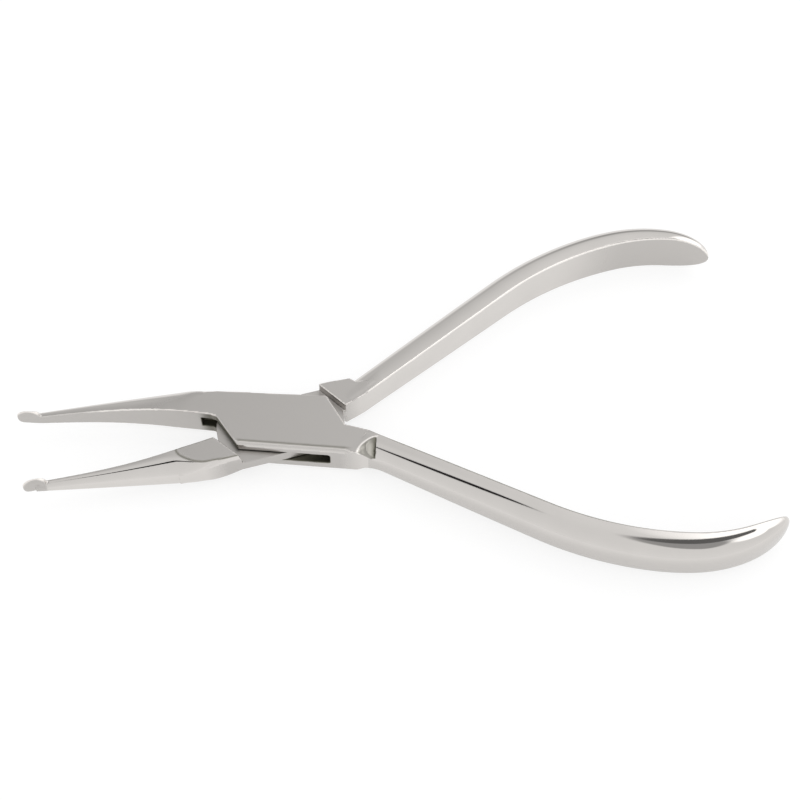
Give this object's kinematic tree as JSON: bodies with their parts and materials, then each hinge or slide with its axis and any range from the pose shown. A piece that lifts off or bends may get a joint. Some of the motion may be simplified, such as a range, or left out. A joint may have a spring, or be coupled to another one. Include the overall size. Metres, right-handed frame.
{
  "type": "box-joint pliers",
  "caption": "Slim-nosed hand pliers with a box joint: tapered steel arms crossing on a flush rivet, oval pads at the jaw tips and bowed half-round handles.",
  "frame": {"origin": "the rivet axis where it meets the outer face of the back cheek", "axes": "+X along the bisector of the arms, towards the handles; +Y towards the box arm's jaw; +Z along the rivet, out of the front cheek"},
  "size_m": [0.1324, 0.0733, 0.0082],
  "materials": {
    "box_arm_steel": "satin faces, polished sides",
    "tongue_arm_steel": "satin faces, polished sides",
    "rivet_steel": "satin, ground flush"
  },
  "bodies": {
    "box_side": {"box_arm": "box_arm_steel", "pivot_rivet": "rivet_steel"},
    "tongue_side": {"tongue_arm": "tongue_arm_steel"}
  },
  "joints": [
    {"name": "pivot", "type": "hinge", "parent": "box_side", "child": "tongue_side", "pos_m": [0, 0, 0.0029], "axis": [0, 0, 1], "range_deg": [-17.8, 18.2]}
  ]
}
